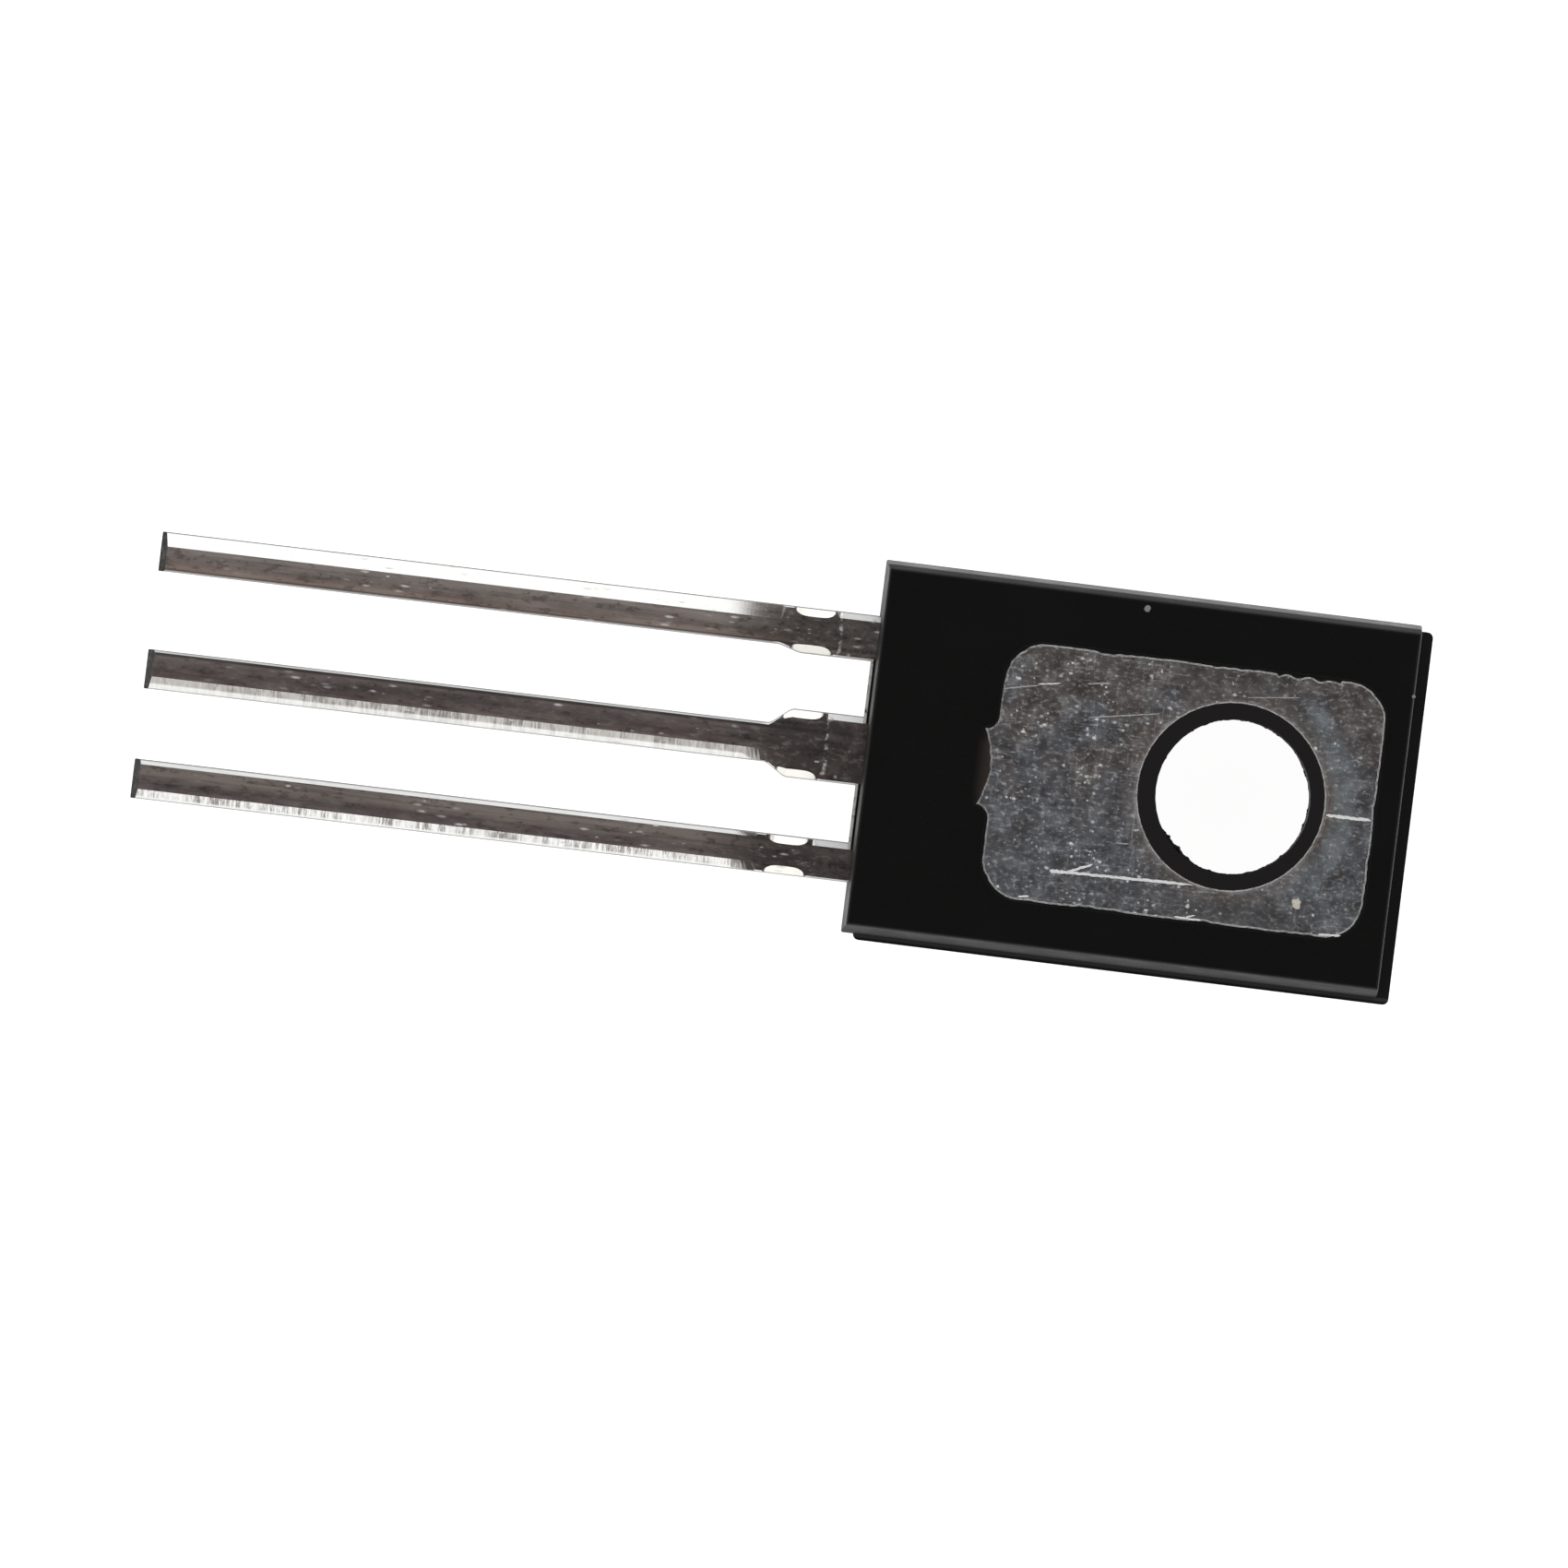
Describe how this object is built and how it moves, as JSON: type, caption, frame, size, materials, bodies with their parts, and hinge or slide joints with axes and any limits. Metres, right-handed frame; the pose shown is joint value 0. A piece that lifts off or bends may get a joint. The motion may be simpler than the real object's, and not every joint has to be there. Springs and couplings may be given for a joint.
{
  "type": "power transistor",
  "caption": "Flat power transistor: black moulded body round a copper frame, bare mounting plate with a screw hole on the back, and flat tinned leads in a row.",
  "frame": {"origin": "centre of the mounting hole, in the plane of the bare mounting plate on the back of the body", "axes": "+Z out of the mounting plate, +X towards the hole end of the body, so the leads run along -X and the base lead lies on the +Y side"},
  "size_m": [0.0259, 0.0077, 0.0027],
  "materials": {
    "moulding_resin": "satin",
    "tinned_copper": "satin",
    "silicon": "gloss",
    "solder": "satin",
    "bond_wire": "satin"
  },
  "bodies": {
    "root": {"body": "moulding_resin", "collector_frame": "tinned_copper", "base_lead": "tinned_copper", "emitter_lead": "tinned_copper", "chip": "silicon", "chip_solder": "solder", "base_wire": "bond_wire", "emitter_wire": "bond_wire"}
  },
  "joints": []
}
